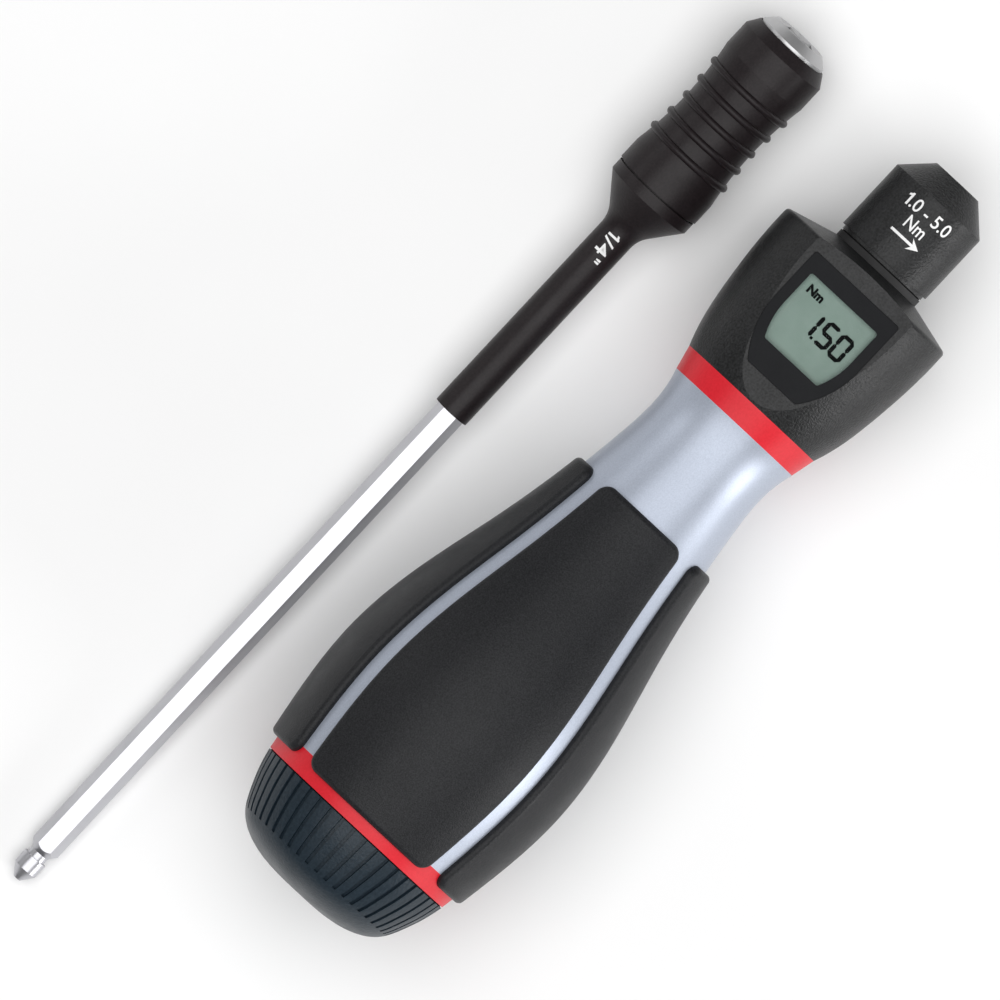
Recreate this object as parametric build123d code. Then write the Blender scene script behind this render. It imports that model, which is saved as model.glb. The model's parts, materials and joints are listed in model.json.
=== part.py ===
from build123d import *
import math
import os

# Torque screwdriver: a handle with a set-torque display, and its bit-holder blade lying beside it.
# Sizes are in millimetres. Each piece is drawn along +X with radii measured from its own axis:
# the handle from the end of its knob, the blade from its tip. Both are laid on the table at the end.

# Clearances shared by the pieces that fit
press_gap = 0.02
run_gap = 0.05
turn_gap = 0.2
panel_gap = 0.06

# Reach of cutters that pass right through a piece
far_r = 60.0

# Handle, lengths along the axis from the knob to the nose
knob_length = 12.2
ring_length = 3.3
core_length = 75.0
band_length = 3.6
head_length = 25.7
seal_flange_length = 1.0
nose_collar_length = 0.6
nose_length = 15.2

# Handle, radii of the silver body and how far each station is from the body's rear or front end
ring_rear_r = 16.6
core_rear_r = 17.15
shoulder_r = 18.3
belly_r = 18.9
hip_r = 17.3
taper_r = 14.05
throat_r = 11.75
waist_r = 10.6
neck_r = 10.25
core_front_r = 11.15
shoulder_from_rear = 7.6
belly_from_rear = 17.3
hip_from_rear = 30.1
taper_from_rear = 43.6
throat_from_front = 19.5
waist_from_front = 11.0
neck_from_front = 6.4

# Soft grip panels
grip_proud = 1.2
grip_slot = 3.2
grip_rear_margin = 1.8
grip_front_margin = 18.4
grip_corner_r = 1.9
grip_edge_r = 0.9
grip_count = 4

# Adjuster knob
knob_rim_r = 16.6
knob_flank_r = 14.9
knob_shoulder_r = 13.06
knob_crown_r = 10.5
knob_dome_r = 6.0
knob_flank_from_end = 6.8
knob_shoulder_from_end = 3.4
knob_crown_from_end = 1.5
knob_dome_from_end = 0.25
knob_rim_slope = 0.22
knob_cavity_r = 12.5
knob_floor = 4.6
knob_hub_r = 4.95
knob_hub_reach = 2.2
knob_rib_count = 48
knob_rib_start = 4.0
knob_groove_width = 0.6
knob_groove_depth = 0.45
plug_r = 4.0
plug_thickness = 1.0
knob_screw_r = 1.45
knob_screw_head_r = 2.8
knob_screw_head_length = 1.6
knob_screw_length = 9.0
knob_screw_slot = 0.7
knob_screw_slot_depth = 0.7
o_ring_wire_r = 0.94

# Front band and head
band_front_r = 12.0
head_rise_r = 13.25
head_cheek_r = 14.4
head_brow_r = 15.05
head_r = 15.15
head_rise_from_rear = 4.0
head_cheek_from_rear = 10.8
head_brow_from_rear = 17.6
head_cone_length = 2.0
head_corner_r = 0.7
facet_height = 12.15

# Display in the head, measured from the head's front end and out from its middle
frame_front = 3.8
frame_length = 17.9
frame_straight = 8.3
frame_half = 8.0
frame_rear_half = 4.5
frame_thickness = 1.1
frame_corner_r = 0.5
window_front = 6.5
window_length = 11.2
window_straight = 5.6
window_half = 6.36
window_rear_half = 5.0
window_corner_r = 0.4
lcd_margin = 0.45
lcd_thickness = 1.1
lcd_connector_height = 0.7
lcd_connector_width = 1.2
lcd_connector_half = 4.4
board_thickness = 0.8
board_inset = 0.3
display_slack = 0.06

# Battery in the back of the head
battery_r = 6.25
battery_thickness = 2.5
battery_step = 0.5
battery_depth = 8.5
battery_from_front = 12.0
battery_slack = 0.15
contact_width = 2.0
contact_thickness = 0.3
contact_leg_inset = 7.3
contact_slack = 0.2
cover_thickness = 2.4
cover_length = 15.6
cover_half = 8.0
cover_corner_r = 2.5
cover_screw_along = 6.0
cover_screw_across = 5.9
cover_screw_r = 0.8
cover_screw_head_r = 1.35
cover_screw_head_length = 0.9
cover_screw_length = 4.6
cover_screw_depth = 11.75
cover_screw_slot = 0.4
cover_screw_slot_depth = 0.35

# Clutch tube, the steel liner of the handle
tube_r = 8.2
tube_wall = 1.0
tube_rear_margin = 1.8
tube_front_reach = 5.2
tube_web_length = 2.0
tube_web_setback = 4.5
tube_web_bore_r = 4.4
key_count = 4
key_width = 2.4
key_depth = 0.5
key_slack = 0.05
strip_slot_half = 2.2

# Spindle and nose
blade_across_flats = 4.0
socket_slack = 0.1
spindle_r = 4.0
spindle_flats = 6.8
spindle_end_wall = 3.0
disc_r = 6.8
disc_thickness = 3.5
pilot_r = 2.2
pilot_length = 5.5
nose_r = 7.95
nose_collar_r = 7.5
nose_end_r = 4.25
nose_mouth_r = 2.5
nose_mouth_length = 3.2
nose_end_chamfer = 0.25
bush_r = 6.4
bush_length = 10.0
circlip_thickness = 0.8
circlip_depth = 0.5
circlip_r = 5.2
circlip_opening = 60
seal_length = 1.6
seal_r = 7.55
catch_ball_r = 0.9
catch_ball_reach = 0.45
catch_ring_opening = 50

# Thrust bearing and clutch
race_thickness = 0.8
thrust_ball_r = 0.95
thrust_ball_count = 10
race_inner_r = 4.25
race_outer_r = 6.8
clutch_ball_r = 1.0
clutch_ball_count = 6
clutch_pocket_count = 12
clutch_pitch_r = 5.2
clutch_pocket_depth = 0.6
clutch_gap = 0.3
plate_thickness = 3.5
plate_r = 6.9
spring_washer_thickness = 0.8
spring_washer_bore_r = 4.0
spring_washer_r = 6.7

# Main spring and its adjuster
spring_r = 5.6
spring_wire_r = 1.0
spring_turns = 7
nut_length = 6.0
nut_r = 6.95
nut_setback = 17.4
nut_travel = 7.0
screw_r = 3.0
screw_overrun = 3.1
screw_hex = 5.0
screw_hex_length = 9.9
screw_collar_r = 6.0
screw_collar_length = 2.0
rear_washer_r = 6.5
rear_washer_thickness = 1.5
rear_plate_thickness = 3.0
rear_clip_setback = 1.8
rear_clip_thickness = 1.2
rear_clip_inner_r = 6.2
rear_clip_depth = 0.5

# Position sensor under the display
strip_half = 2.0
strip_thickness = 0.3
strip_height = 7.45
strip_rear_margin = 3.4
strip_tail = 3.5
strip_ramp = 1.0
strip_lift_gap = 0.02
wiper_length = 4.0
wiper_half = 1.0
wiper_seat = 6.4

# Blade, lengths along its axis from the tip
tip_r = 0.6
snap_r = 1.9
snap_cone_length = 1.8
snap_land_length = 2.15
snap_groove_r = 1.46
snap_groove_width = 0.95
snap_shoulder_length = 1.15
shank_bare_length = 90.8
sleeve_tube_r = 2.8
sleeve_tube_length = 34.4
flare_radius = 4.3
flare_angle = 38
collar_r = 6.95
collar_length = 1.7
collar_lip_r = 6.45
holder_gap = 0.3

# Bit holder and its release sleeve
release_length = 27.8
release_r = 7.1
release_rear_land = 3.3
release_front_land = 4.0
release_chamfer_length = 1.8
release_mouth_r = 5.95
release_waist_depth = 0.83
rib_count = 5
rib_pitch = 3.12
rib_wire_r = 0.55
release_travel = 2.8
holder_r = 4.9
holder_tail_r = 4.58
holder_tail_length = 4.7
holder_nose_r = 5.6
holder_nose_length = 3.4
holder_nose_reach = 1.8
holder_nose_end_r = 4.25
bit_across_flats = 6.4
bit_socket_depth = 20.2
bit_mouth_chamfer = 0.4
magnet_r = 3.0
magnet_length = 3.0
magnet_wall = 1.9
lock_ball_r = 1.2
lock_ball_from_socket = 9.2
lock_land_rear = 1.8
lock_land_front = 1.6
relief_depth = 0.7
relief_run_out = 1.5
release_spring_wire_r = 0.3
release_spring_turns = 4
release_chamber_r = 5.75

# How the two pieces lie beside each other
blade_offset = 30.25
blade_lead = -27.1

# Stations along the handle
ring_x = knob_length + turn_gap
core_x = ring_x + ring_length
band_x = core_x + core_length
head_x = band_x + band_length
face_x = head_x + head_length
collar_x = face_x + seal_flange_length + turn_gap
nose_x = collar_x + nose_collar_length
end_x = nose_x + nose_length
grip_rear_x = ring_x + grip_rear_margin
grip_front_x = band_x - grip_front_margin

# Stations along the clutch tube, from its web back to the spring, and from its rear end forward
tube_rear_x = core_x + tube_rear_margin
tube_front_x = head_x + tube_front_reach
web_x = tube_front_x - tube_web_setback - tube_web_length
disc_x = web_x - 2 * race_thickness - 2 * thrust_ball_r - disc_thickness
plate_x = disc_x - clutch_gap - plate_thickness
spring_front_x = plate_x - spring_washer_thickness
clip_x = tube_rear_x + rear_clip_setback
rear_plate_x = clip_x + rear_clip_thickness
rear_washer_x = rear_plate_x + rear_plate_thickness
screw_collar_x = rear_washer_x + rear_washer_thickness
screw_thread_x = screw_collar_x + screw_collar_length
nut_x = screw_thread_x + nut_setback
spring_rear_x = nut_x + nut_length + spring_washer_thickness
screw_end_x = nut_x + nut_length + nut_travel + screw_overrun
spindle_end_x = end_x - nose_mouth_length
socket_x = disc_x + disc_thickness + spindle_end_wall
catch_x = socket_x + snap_cone_length + snap_land_length + snap_groove_width / 2
bush_x = face_x - seal_length - turn_gap - circlip_thickness - turn_gap - bush_length
clip_front_x = bush_x + bush_length + turn_gap
tube_inner_r = tube_r - tube_wall
key_r = tube_inner_r + key_depth
tongue_r = key_r - key_slack
catch_groove_r = blade_across_flats / 2 + socket_slack / 2 - catch_ball_reach + 2 * catch_ball_r

# Heights of the display stack in the head
frame_floor = facet_height - frame_thickness
lcd_floor = frame_floor - display_slack - lcd_thickness
board_floor = lcd_floor - lcd_connector_height - board_thickness
frame_front_x = face_x - frame_front
window_front_x = face_x - window_front
battery_x = face_x - battery_from_front
pocket_top = -(battery_depth - contact_thickness)
battery_bottom = -(battery_depth + battery_thickness)

# Stations along the blade
groove_x = snap_cone_length + snap_land_length
shoulder_x = groove_x + snap_groove_width
shank_x = shoulder_x + snap_shoulder_length
flare_x = shank_bare_length + sleeve_tube_length
flare_run = flare_radius * math.sin(math.radians(flare_angle))
flare_rise = flare_radius * (1 - math.cos(math.radians(flare_angle)))
flare_slope_run = (collar_r - sleeve_tube_r - flare_rise) / math.tan(math.radians(flare_angle))
blade_collar_x = flare_x + flare_run + flare_slope_run
release_x = blade_collar_x + collar_length + holder_gap
release_end_x = release_x + release_length
blade_end_x = release_end_x + holder_nose_reach
holder_nose_x = blade_end_x - holder_nose_length
holder_x = blade_collar_x + collar_length - holder_tail_length
bit_socket_x = blade_end_x - bit_socket_depth
magnet_x = bit_socket_x - magnet_length
shank_end_x = magnet_x - magnet_wall
lock_x = bit_socket_x + lock_ball_from_socket
release_bore_r = holder_r + run_gap
relief_length = release_travel + relief_run_out


def turned(*points):
    """Solid turned about the X axis from a closed outline of (x, radius) points."""
    return revolve(make_face(Polyline(*points, close=True)), Axis.X)


def ring(x0, x1, inner, outer):
    """Plain ring or disc between two stations."""
    return turned((x0, inner), (x1, inner), (x1, outer), (x0, outer))


def under(line):
    """Solid turned from the area between a curved outline and the axis."""
    start = line @ 0
    end = line @ 1
    close = [(end.X, end.Y), (end.X, 0), (start.X, 0)]
    if start.Y > 0:
        close.append((start.X, start.Y))
    return revolve(make_face([line, *Polyline(*close).edges()]), Axis.X)


def hexagon(x0, x1, across_flats):
    """Hexagonal prism along X with one flat facing up."""
    section = Plane(origin=(x0, 0, 0), x_dir=(0, 1, 0), z_dir=(1, 0, 0))
    shape = RegularPolygon(across_flats / 2, 6, major_radius=False)
    return extrude(section * shape, amount=x1 - x0)


def block(x0, x1, y0, y1, z0, z1):
    """Box between two corners."""
    centre = Pos((x0 + x1) / 2, (y0 + y1) / 2, (z0 + z1) / 2)
    return centre * Box(x1 - x0, y1 - y0, z1 - z0)


def post(x, y, z0, z1, radius):
    """Upright round bar or hole between two heights."""
    return Pos(x, y, (z0 + z1) / 2) * Cylinder(radius, z1 - z0)


def around(solid, count, start=0):
    """Copies of a solid, evenly spaced about the X axis."""
    return [Rot(start + 360 * i / count, 0, 0) * solid for i in range(count)]


def coil(x0, x1, radius, wire_r, turns):
    """Round-wire helix along X that fits between two seats."""
    height = x1 - x0 - 2 * wire_r
    path = Helix(height / turns, height, radius, center=(x0 + wire_r, 0, 0), direction=(1, 0, 0))
    section = Plane(origin=path @ 0, z_dir=path % 0) * Circle(wire_r)
    return sweep(section, path=path, is_frenet=True)


def clip(x0, thickness, inner, outer, opening):
    """Open retaining ring with its mouth facing down."""
    body = ring(x0, x0 + thickness, inner, outer)
    reach = outer + press_gap
    half = reach * math.tan(math.radians(opening / 2))
    mouth = make_face(Polyline((0, 0), (half, -reach), (-half, -reach), close=True))
    section = Plane(origin=(x0, 0, 0), x_dir=(0, 1, 0), z_dir=(1, 0, 0))
    return body - extrude(section * mouth, amount=thickness)


def body_line(proud=0):
    """Outline of the silver body from the rear ring to the front band, or of a skin over it."""
    stations = [
        (ring_x, ring_rear_r),
        (core_x, core_rear_r),
        (core_x + shoulder_from_rear, shoulder_r),
        (core_x + belly_from_rear, belly_r),
        (core_x + hip_from_rear, hip_r),
        (core_x + taper_from_rear, taper_r),
        (band_x - throat_from_front, throat_r),
        (band_x - waist_from_front, waist_r),
        (band_x - neck_from_front, neck_r),
        (band_x, core_front_r),
    ]
    return Spline(*[(x, r + proud) for x, r in stations])


def knob_line(inset=0):
    """Outline of the knob from the middle of its end to its rim."""
    stations = [
        (knob_dome_from_end, knob_dome_r),
        (knob_crown_from_end, knob_crown_r),
        (knob_shoulder_from_end, knob_shoulder_r),
        (knob_flank_from_end, knob_flank_r),
        (knob_length, knob_rim_r),
    ]
    ends = [(0, 1), (1, knob_rim_slope)]
    return Spline((0, 0), *[(x, r - inset) for x, r in stations], tangents=ends)


def head_line():
    """Outline of the head from the front band to its front corner."""
    return Spline(
        (head_x, band_front_r),
        (head_x + head_rise_from_rear, head_rise_r),
        (head_x + head_cheek_from_rear, head_cheek_r),
        (head_x + head_brow_from_rear, head_brow_r),
        (face_x - head_cone_length, head_r),
    )


def shield(front_x, length, straight, half, rear_half, corner_r, grow=0):
    """Display outline: straight sides at the front that curve in towards a narrow rear edge."""
    right = front_x + grow
    bend = front_x - straight
    left = front_x - length - grow
    side = half + grow
    back = rear_half + grow
    edges = [
        Line((right, -side), (right, side)),
        Line((right, side), (bend, side)),
        TangentArc((bend, side), (left, back), tangent=(-1, 0)),
        Line((left, back), (left, -back)),
        TangentArc((bend, -side), (left, -back), tangent=(-1, 0)),
        Line((bend, -side), (right, -side)),
    ]
    outline = make_face(edges)
    corners = [v for v in outline.vertices() if abs(v.X - right) < press_gap or abs(v.X - left) < press_gap]
    return fillet(corners, corner_r)


def frame_shape(grow=0):
    """Outline of the display frame."""
    sizes = (frame_length, frame_straight, frame_half, frame_rear_half, frame_corner_r)
    return shield(frame_front_x, *sizes, grow)


def window_shape(grow=0):
    """Outline of the display window."""
    sizes = (window_length, window_straight, window_half, window_rear_half, window_corner_r)
    return shield(window_front_x, *sizes, grow)


def slab(shape, z0, z1):
    """Plate of a given outline between two heights."""
    return extrude(Pos(0, 0, z0) * shape, amount=z1 - z0)


def keys(x0, x1, width, reach):
    """Key bars along the clutch tube, between its slot for the sensor strip and the other side."""
    bar = block(x0, x1, -width / 2, width / 2, 0, reach)
    return around(bar, key_count, 180 / key_count)


def tongued(x0, x1, radius):
    """Disc whose tongues slide in the keyways of the clutch tube."""
    rim = ring(x0, x1, 0, tongue_r)
    tongues = [bar & rim for bar in keys(x0, x1, key_width - 2 * key_slack, tongue_r)]
    return ring(x0, x1, 0, radius) + tongues


def ball_ring(x, pitch_r, radius, count):
    """Balls evenly spaced on a circle about the axis."""
    return around(Pos(x, 0, pitch_r) * Rot(0, 90, 0) * Sphere(radius), count)


def make_grip_core():
    core = under(body_line()) & ring(core_x, band_x, 0, far_r)
    return core - ring(core_x, band_x, 0, tube_r + press_gap)


def make_grip_panel():
    """Soft panel on the display side, inlaid over the body and parted from the next by a diagonal slot."""
    skin = under(body_line(grip_proud)) - under(body_line())
    skin = skin & ring(grip_rear_x, grip_front_x, 0, far_r)
    slot = block(grip_rear_x, grip_front_x, -grip_slot / 2, grip_slot / 2, -far_r, far_r)
    for turn in (180 / grip_count, -180 / grip_count):
        skin = skin - Rot(turn, 0, 0) * slot
    panel = skin.solids().sort_by(Axis.Z)[-1]
    corners = panel.edges().filter_by(GeomType.LINE).sort_by(SortBy.LENGTH)[0:4]
    panel = panel.fillet(grip_corner_r, corners)
    rim = panel.faces().sort_by(SortBy.AREA)[-1].edges()
    return panel.fillet(grip_edge_r, rim)


def make_rear_ring():
    """Ring behind the grip, with a spigot in the body and a seat for the knob's seal."""
    body = under(body_line()) & ring(ring_x, core_x, 0, far_r)
    body = body + ring(core_x, tube_rear_x - run_gap, 0, tube_r)
    seat_r = knob_hub_r + 2 * o_ring_wire_r + press_gap
    body = body - ring(ring_x, ring_x + knob_hub_reach, 0, seat_r)
    return body - ring(ring_x, tube_rear_x, 0, screw_r + run_gap)


def make_front_band():
    bore = tube_r + press_gap
    return turned((band_x, bore), (head_x, bore), (head_x, band_front_r), (band_x, core_front_r))


def make_adjuster_knob():
    """Hollow ribbed knob with a hub that fits the hexagon of the adjuster screw."""
    blank = under(knob_line())
    rib_zone = ring(knob_rib_start, knob_length, 0, far_r)
    skin = (blank - under(knob_line(knob_groove_depth))) & rib_zone
    half = knob_groove_width / 2
    groove = block(knob_rib_start, knob_length, -half, half, 0, far_r)
    grooves = [bar & skin for bar in around(groove, knob_rib_count)]
    knob = blank - ring(knob_floor, knob_length, knob_hub_r, knob_cavity_r) - grooves
    knob = knob + ring(knob_floor, knob_length + knob_hub_reach, 0, knob_hub_r)
    knob = knob - hexagon(knob_floor, knob_length + knob_hub_reach, screw_hex + 2 * press_gap)
    plug_seat = ring(-plug_thickness, plug_thickness, 0, plug_r + press_gap)
    return knob - knob_screw_blank(press_gap) - plug_seat


def knob_screw_blank(grow=0):
    """Countersunk screw that holds the knob on, or the hole that it needs."""
    seat = plug_thickness
    neck = seat + knob_screw_head_length
    end = neck + knob_screw_length
    head = knob_screw_head_r + grow
    shank = knob_screw_r + grow
    return turned((seat, 0), (end, 0), (end, shank), (neck, shank), (seat, head))


def make_knob_screw():
    half = knob_screw_slot / 2
    slot_floor = plug_thickness + knob_screw_slot_depth
    slot = block(plug_thickness, slot_floor, -far_r, far_r, -half, half)
    return knob_screw_blank() - slot


def make_knob_plug():
    return under(knob_line()) & ring(0, plug_thickness, 0, plug_r)


def make_knob_o_ring():
    middle = ring_x + knob_hub_reach / 2
    hoop = Torus(knob_hub_r + o_ring_wire_r + press_gap / 2, o_ring_wire_r)
    return Pos(middle, 0, 0) * Rot(0, 90, 0) * hoop


def make_head_housing():
    """Head moulding: turned body with the display facet, its pockets and the bore for the spindle."""
    line = head_line()
    corner = (face_x - head_cone_length, head_r)
    cone = Polyline(corner, (face_x, seal_r), (face_x, 0), (head_x, 0), (head_x, band_front_r))
    body = revolve(make_face([line, *cone.edges()]), Axis.X)
    rim = [e for e in body.edges().filter_by(GeomType.CIRCLE) if abs(e.radius - head_r) < press_gap]
    body = fillet(rim, head_corner_r)
    body = body - block(head_x, face_x, -far_r, far_r, facet_height, far_r)
    body = body - ring(head_x, tube_front_x, 0, tube_r + press_gap)
    body = body - ring(head_x, face_x, 0, bush_r + press_gap)
    pocket = post(battery_x, 0, -far_r, pocket_top, battery_r + battery_slack)
    body = body - display_pocket() - pocket - contact_channels() - cover_blank(panel_gap)
    return body - [cover_screw(x, y, press_gap) for x, y in cover_screw_places()]


def display_pocket():
    """Recess for the display frame, the pocket under it and the channel for the sensor strip."""
    recess = slab(frame_shape(panel_gap), frame_floor, facet_height)
    pocket = slab(frame_shape(-board_inset + panel_gap), board_floor, frame_floor)
    low = strip_height - contact_slack
    tail_x = frame_front_x - frame_length + strip_tail + strip_ramp
    channel = block(head_x, tail_x, -strip_slot_half, strip_slot_half, low, board_floor)
    return [recess, pocket, channel]


def contact_channels():
    """Channels for the two battery contacts, from the coin cell up to the circuit board."""
    half = contact_width / 2 + contact_slack
    inner = contact_leg_inset - contact_slack
    outer = contact_leg_inset + contact_thickness + contact_slack
    cuts = []
    for side in (1, -1):
        low, high = sorted((side * inner, side * outer))
        leg = block(battery_x - half, battery_x + half, low, high, battery_bottom, board_floor)
        low, high = sorted((0, side * outer))
        foot = block(battery_x - half, battery_x + half, low, high, battery_bottom, pocket_top)
        cuts += [leg, foot]
    return cuts


def cover_blank(grow=0):
    """Battery cover before its pockets: a patch of the head's own skin on the underside."""
    skin = under(head_line()) - under_inset()
    shape = Pos(battery_x, 0) * RectangleRounded(
        cover_length + 2 * grow, 2 * (cover_half + grow), cover_corner_r + grow
    )
    return skin & slab(shape, -far_r, 0)


def under_inset():
    """Head outline moved in by the thickness of the battery cover."""
    line = head_line()
    return under(Pos(0, -cover_thickness) * line)


def cover_screw_places():
    return [(battery_x + side * cover_screw_along, side * cover_screw_across) for side in (-1, 1)]


def cover_screw(x, y, grow=0):
    """Small pan screw driven upwards into the head, or the hole that it needs."""
    seat = -cover_screw_depth + cover_screw_head_length
    head_low = -cover_screw_depth if grow == 0 else -far_r
    head = post(x, y, head_low, seat, cover_screw_head_r + grow)
    return head + post(x, y, seat, seat + cover_screw_length, cover_screw_r + grow)


def make_battery_cover():
    cover = cover_blank()
    cover = cover - post(battery_x, 0, battery_bottom, 0, battery_r + battery_slack) - contact_channels()
    return cover - [cover_screw(x, y, panel_gap) for x, y in cover_screw_places()]


def make_battery_cover_screws():
    screws = []
    for x, y in cover_screw_places():
        half = cover_screw_slot / 2
        slot_top = -cover_screw_depth + cover_screw_slot_depth
        slot = block(x - far_r, x + far_r, y - half, y + half, -far_r, slot_top)
        screws.append(cover_screw(x, y) - slot)
    return screws


def make_battery():
    """Coin cell with its narrower can on the contact side."""
    can = post(battery_x, 0, battery_bottom, -battery_depth, battery_r)
    low = -battery_depth - battery_step
    rim = post(battery_x, 0, low, 0, far_r) - post(battery_x, 0, low, 0, battery_r - battery_step)
    return can - rim


def make_battery_contacts():
    """Two sprung strips from the coin cell up to the circuit board."""
    half = contact_width / 2
    x0 = battery_x - half
    x1 = battery_x + half
    inner = contact_leg_inset
    outer = inner + contact_thickness
    top = block(x0, x1, 0, outer, -battery_depth, pocket_top)
    top = top + block(x0, x1, inner, outer, -battery_depth, board_floor)
    rest = -battery_depth - battery_thickness / 2
    rim = block(x0, x1, -outer, -battery_r - press_gap, rest - contact_thickness, rest)
    rim = rim + block(x0, x1, -outer, -inner, rest - contact_thickness, board_floor)
    return [top, rim]


def make_display_frame():
    frame = slab(frame_shape(), frame_floor, facet_height)
    return frame - slab(window_shape(press_gap), frame_floor, facet_height)


def make_display_window():
    return slab(window_shape(), frame_floor, facet_height)


def make_lcd_panel():
    return slab(window_shape(lcd_margin), lcd_floor, lcd_floor + lcd_thickness)


def make_lcd_connectors():
    """Two rubber strips that join the display to the circuit board."""
    floor = board_floor + board_thickness
    front = window_front_x - lcd_connector_width
    rear = window_front_x - window_length
    half = lcd_connector_half
    return [block(x, x + lcd_connector_width, -half, half, floor, lcd_floor) for x in (rear, front)]


def make_circuit_board():
    return slab(frame_shape(-board_inset), board_floor, board_floor + board_thickness)


def make_sensor_strip():
    """Flat sensor strip along the clutch tube that bends up under the circuit board."""
    start = nut_x - strip_rear_margin
    bend = tube_front_x + contact_slack
    rise = board_floor - strip_lift_gap - strip_thickness
    end = frame_front_x - frame_length + strip_tail
    low = [(start, strip_height), (bend, strip_height), (bend + strip_ramp, rise), (end, rise)]
    high = [(x, z + strip_thickness) for x, z in reversed(low)]
    profile = make_face(Polyline(*low, *high, close=True))
    return extrude(Plane.XZ * profile, amount=strip_half, both=True)


def make_clutch_tube():
    """Steel liner with keyways, a web that takes the thrust and a slot for the sensor strip."""
    tube = ring(tube_rear_x, tube_front_x, tube_inner_r, tube_r)
    bore = ring(tube_rear_x, web_x, 0, key_r)
    tube = tube - [bar & bore for bar in keys(tube_rear_x, web_x, key_width, key_r)]
    tube = tube + ring(web_x, web_x + tube_web_length, tube_web_bore_r, tube_r)
    slot_x = nut_x - strip_rear_margin - contact_slack
    slot_floor = tube_inner_r - tube_wall
    tube = tube - block(slot_x, tube_front_x, -strip_slot_half, strip_slot_half, slot_floor, far_r)
    return tube - ring(clip_x - press_gap, rear_plate_x + press_gap, 0, tube_inner_r + rear_clip_depth)


def make_spindle():
    """Output spindle: hexagon socket at the nose, clutch disc with ball pockets at the other end."""
    body = ring(disc_x - pilot_length, disc_x, 0, pilot_r)
    body = body + ring(disc_x, disc_x + disc_thickness, 0, disc_r)
    shaft = ring(disc_x + disc_thickness, spindle_end_x, 0, spindle_r)
    flat = spindle_flats / 2
    for low, high in ((flat, far_r), (-far_r, -flat)):
        shaft = shaft - block(collar_x, spindle_end_x, -far_r, far_r, low, high)
    body = body + shaft - hexagon(socket_x, spindle_end_x, blade_across_flats + socket_slack)
    ball_x = disc_x + clutch_pocket_depth - clutch_ball_r
    body = body - ball_ring(ball_x, clutch_pitch_r, clutch_ball_r + press_gap, clutch_pocket_count)
    clip_end = clip_front_x + circlip_thickness + press_gap
    body = body - ring(clip_front_x - press_gap, clip_end, spindle_r - circlip_depth, far_r)
    wire = spindle_r - catch_groove_r
    body = body - ring(catch_x - wire, catch_x + wire, catch_groove_r, far_r)
    return body - post(catch_x, 0, 0, far_r, catch_ball_r + press_gap)


def make_blade_catch_ball():
    return Pos(catch_x, 0, catch_groove_r - catch_ball_r) * Sphere(catch_ball_r)


def make_blade_catch_ring():
    """Open wire ring that presses the catch ball into the blade's groove."""
    wire_r = (spindle_r - catch_groove_r) / 2 - press_gap
    hoop = Rot(0, 90, 0) * Torus(catch_groove_r + press_gap + wire_r, wire_r)
    half = spindle_r * math.tan(math.radians(catch_ring_opening / 2))
    mouth = block(-spindle_r, spindle_r, -half, half, -2 * spindle_r, -spindle_r / 2)
    return Pos(catch_x, 0, 0) * (hoop - mouth)


def make_nose_sleeve():
    """Black nose that turns with the spindle, with a round mouth for the blade."""
    slope = nose_r - nose_end_r
    tip = end_x - nose_end_chamfer
    sleeve = turned(
        (collar_x, 0),
        (end_x, 0),
        (end_x, nose_end_r - nose_end_chamfer),
        (tip, nose_end_r),
        (tip - slope, nose_r),
        (nose_x, nose_r),
        (nose_x, nose_collar_r),
        (collar_x, nose_collar_r),
    )
    bore = ring(collar_x, spindle_end_x, 0, spindle_r + press_gap)
    flat = spindle_flats / 2 + press_gap
    bore = bore & block(collar_x, spindle_end_x, -far_r, far_r, -flat, flat)
    return sleeve - bore - ring(spindle_end_x, end_x, 0, nose_mouth_r)


def make_nose_seal():
    """Lip seal with the flange that shows between the head and the nose."""
    bore = spindle_r + run_gap
    inner = face_x - seal_length
    outer = face_x + seal_flange_length
    step = [(outer, seal_r), (face_x, seal_r), (face_x, bush_r)]
    return turned((inner, bore), (outer, bore), *step, (inner, bush_r))


def make_thrust_races():
    front = ring(web_x - race_thickness, web_x, race_inner_r, race_outer_r)
    rear_x = disc_x + disc_thickness
    return [front, ring(rear_x, rear_x + race_thickness, race_inner_r, race_outer_r)]


def make_clutch_plate():
    """Keyed plate that carries the clutch balls and is pressed forward by the main spring."""
    plate = tongued(plate_x, plate_x + plate_thickness, plate_r)
    ball_x = disc_x + clutch_pocket_depth - clutch_ball_r
    plate = plate - ball_ring(ball_x, clutch_pitch_r, clutch_ball_r + press_gap, clutch_ball_count)
    return plate - ring(plate_x, plate_x + plate_thickness, 0, pilot_r + run_gap)


def make_spring_nut():
    """Keyed nut that the adjuster screw moves along the clutch tube, with a flat for the wiper."""
    nut = tongued(nut_x, nut_x + nut_length, nut_r)
    nut = nut - ring(nut_x, nut_x + nut_length, 0, screw_r + run_gap)
    middle = nut_x + nut_length / 2
    reach = wiper_length / 2 + press_gap
    half = wiper_half + press_gap
    return nut - block(middle - reach, middle + reach, -half, half, wiper_seat, far_r)


def make_sensor_wiper():
    """Sprung contact on the nut that runs along the sensor strip."""
    middle = nut_x + nut_length / 2
    half = wiper_length / 2
    top = strip_height - run_gap
    foot = wiper_seat + contact_thickness
    arch = [
        (middle - half, wiper_seat),
        (middle + half, wiper_seat),
        (middle + half, foot),
        (middle + half / 2, top),
        (middle, top),
        (middle - half / 2, foot),
        (middle - half, foot),
    ]
    return extrude(Plane.XZ * make_face(Polyline(*arch, close=True)), amount=wiper_half, both=True)


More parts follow.
